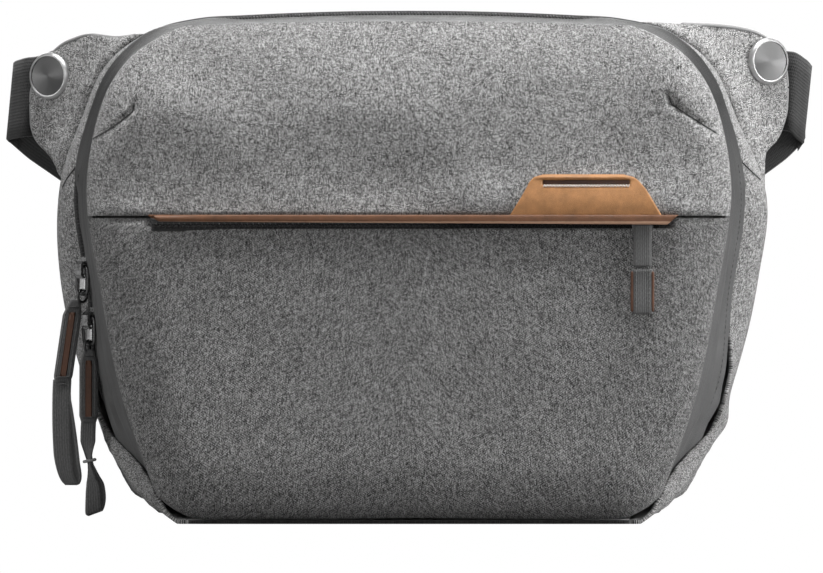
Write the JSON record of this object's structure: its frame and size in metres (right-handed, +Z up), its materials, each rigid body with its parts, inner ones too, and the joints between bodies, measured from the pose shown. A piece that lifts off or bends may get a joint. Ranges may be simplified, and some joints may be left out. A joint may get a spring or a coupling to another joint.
{
  "type": "camera sling bag",
  "caption": "Padded sling bag for a camera: tipping front cover, leather-trimmed zip pocket, side wings with turning strap discs, carrying strap and folding dividers.",
  "frame": {"origin": "middle of the flat base, on the surface that the bag stands on", "axes": "+X to the right as seen from the front, the front faces -Y, +Z up"},
  "size_m": [0.376, 0.1372, 0.2373],
  "materials": {
    "heather_fabric": "heather grey woven polyester with light and dark yarns, matt",
    "gusset_fabric": "dark grey coated smooth fabric, slight sheen",
    "base_fabric": "dark grey coated base fabric",
    "back_mesh": "dark grey padded back fabric, knitted mesh",
    "foam": "foam faced with light grey lining fabric",
    "lining": "light grey lining fabric",
    "divider_fabric": "brushed grey divider fabric over foam",
    "zip_tape": "dark grey woven zip tape",
    "zip_coil": "dark grey nylon coil",
    "leather": "tan full-grain leather, lighter cut edge",
    "slider_metal": "light grey satin metal",
    "link_metal": "gunmetal plated metal",
    "pull_core": "brown stitched core with dark edges",
    "pull_webbing": "dark grey narrow webbing",
    "strap_webbing": "dark grey ribbed webbing",
    "strap_pad_fabric": "dark grey padded strap fabric",
    "disc_aluminium": "dark anodised turned aluminium with a bright bevel",
    "adjuster_metal": "dark anodised aluminium, satin"
  },
  "bodies": {
    "rear_body": {"back_panel": "back_mesh", "back_padding": "foam", "bottom_panel": "base_fabric", "top_panel": "gusset_fabric", "left_side_panel": "heather_fabric", "right_side_panel": "heather_fabric", "left_wing": "heather_fabric", "right_wing": "heather_fabric", "rear_zip_tape": "zip_tape", "rear_zip_coil": "zip_coil", "zip_end_stops": "zip_tape", "tablet_sleeve": "lining", "left_strap_end": "strap_webbing", "right_strap_end": "strap_webbing"},
    "front_cover": {"front_panel_upper": "heather_fabric", "front_panel_lower": "heather_fabric", "front_gusset": "gusset_fabric", "front_zip_tape": "zip_tape", "front_zip_coil": "zip_coil", "front_padding": "foam", "pocket_organiser": "lining", "pocket_zip_upper_tape": "zip_tape", "pocket_zip_lower_tape": "zip_tape", "leather_welt": "leather", "leather_tab": "leather"},
    "upper_slider": {"upper_slider": "slider_metal"},
    "upper_link": {"upper_pull_link": "link_metal"},
    "upper_tab": {"upper_pull_ring": "link_metal", "upper_pull_core": "pull_core", "upper_pull_loop": "pull_webbing"},
    "lower_slider": {"lower_slider": "slider_metal"},
    "lower_link": {"lower_pull_link": "link_metal"},
    "lower_tab": {"lower_pull_ring": "link_metal", "lower_pull_core": "pull_core", "lower_pull_loop": "pull_webbing"},
    "pocket_slider": {"pocket_slider": "slider_metal"},
    "pocket_pull": {"pocket_pull_webbing": "pull_webbing", "pocket_pull_ring": "link_metal", "pocket_pull_tab": "pull_core"},
    "left_anchor": {"left_anchor_disc": "disc_aluminium", "left_anchor_post": "disc_aluminium", "left_anchor_washer": "disc_aluminium"},
    "right_anchor": {"right_anchor_disc": "disc_aluminium", "right_anchor_post": "disc_aluminium", "right_anchor_washer": "disc_aluminium"},
    "strap": {"left_strap_leg": "strap_webbing", "right_strap_leg": "strap_webbing", "strap_webbing": "strap_webbing", "strap_pad": "strap_pad_fabric"},
    "adjuster": {"adjuster_frame": "adjuster_metal", "adjuster_pin": "adjuster_metal"},
    "adjuster_lever": {"adjuster_lever": "adjuster_metal", "adjuster_pull_tab": "strap_webbing"},
    "left_divider": {"left_divider": "divider_fabric"},
    "left_flap": {"left_divider_flap": "divider_fabric"},
    "right_divider": {"right_divider": "divider_fabric"},
    "right_flap": {"right_divider_flap": "divider_fabric"}
  },
  "joints": [
    {"name": "main_opening", "type": "hinge", "parent": "rear_body", "child": "front_cover", "pos_m": [0, -0.056, 0.003], "axis": [1, 0, 0], "range_deg": [0, 40]},
    {"name": "upper_slider_travel", "type": "slide", "parent": "rear_body", "child": "upper_slider", "axis": [-0.1293, 0, 0.9916], "range_m": [0, 0.029]},
    {"name": "upper_link_swing", "type": "hinge", "parent": "upper_slider", "child": "upper_link", "pos_m": [-0.15155, -0.00882, 0.1178], "axis": [-0.7071, 0.7071, 0], "range_deg": [0, 75]},
    {"name": "upper_tab_swing", "type": "hinge", "parent": "upper_link", "child": "upper_tab", "pos_m": [-0.15155, -0.00882, 0.1058], "axis": [-0.7071, 0.7071, 0], "range_deg": [0, 75]},
    {"name": "lower_slider_travel", "type": "slide", "parent": "rear_body", "child": "lower_slider", "axis": [-0.1293, 0, 0.9916], "range_m": [-0.027, 0]},
    {"name": "lower_link_swing", "type": "hinge", "parent": "lower_slider", "child": "lower_link", "pos_m": [-0.14849, -0.00882, 0.0943], "axis": [-0.7071, 0.7071, 0], "range_deg": [0, 75]},
    {"name": "lower_tab_swing", "type": "hinge", "parent": "lower_link", "child": "lower_tab", "pos_m": [-0.14849, -0.00882, 0.0823], "axis": [-0.7071, 0.7071, 0], "range_deg": [0, 75]},
    {"name": "pocket_slider_travel", "type": "slide", "parent": "front_cover", "child": "pocket_slider", "axis": [1, 0, 0], "range_m": [-0.214, 0]},
    {"name": "pocket_pull_swing", "type": "hinge", "parent": "pocket_slider", "child": "pocket_pull", "pos_m": [0.107, -0.0681, 0.1344], "axis": [-1, 0, 0], "range_deg": [0, 90]},
    {"name": "left_disc_turn", "type": "hinge", "parent": "rear_body", "child": "left_anchor", "pos_m": [-0.16803, 0.04326, 0.208], "axis": [-0.5299, -0.848, 0], "range_deg": [-60, 60]},
    {"name": "right_disc_turn", "type": "hinge", "parent": "rear_body", "child": "right_anchor", "pos_m": [0.16803, 0.04326, 0.215], "axis": [0.5299, -0.848, 0], "range_deg": [-60, 60]},
    {"name": "strap_swing", "type": "hinge", "parent": "rear_body", "child": "strap", "pos_m": [0, 0.0565, 0.217], "axis": [1, 0, 0], "range_deg": [0, 120]},
    {"name": "adjuster_travel", "type": "slide", "parent": "strap", "child": "adjuster", "axis": [1, 0, 0], "range_m": [-0.02, 0.008]},
    {"name": "lever_opening", "type": "hinge", "parent": "adjuster", "child": "adjuster_lever", "pos_m": [0.063, 0.0624, 0.138], "axis": [0, 0, 1], "range_deg": [0, 80]},
    {"name": "left_divider_shift", "type": "slide", "parent": "rear_body", "child": "left_divider", "axis": [1, 0, 0], "range_m": [-0.02, 0.02]},
    {"name": "left_flap_fold", "type": "hinge", "parent": "left_divider", "child": "left_flap", "pos_m": [-0.047, -0.0045, 0.1743], "axis": [0, -1, 0], "range_deg": [0, 88]},
    {"name": "right_divider_shift", "type": "slide", "parent": "rear_body", "child": "right_divider", "axis": [1, 0, 0], "range_m": [-0.02, 0.02]},
    {"name": "right_flap_fold", "type": "hinge", "parent": "right_divider", "child": "right_flap", "pos_m": [0.047, -0.0045, 0.1743], "axis": [0, 1, 0], "range_deg": [0, 88]}
  ]
}
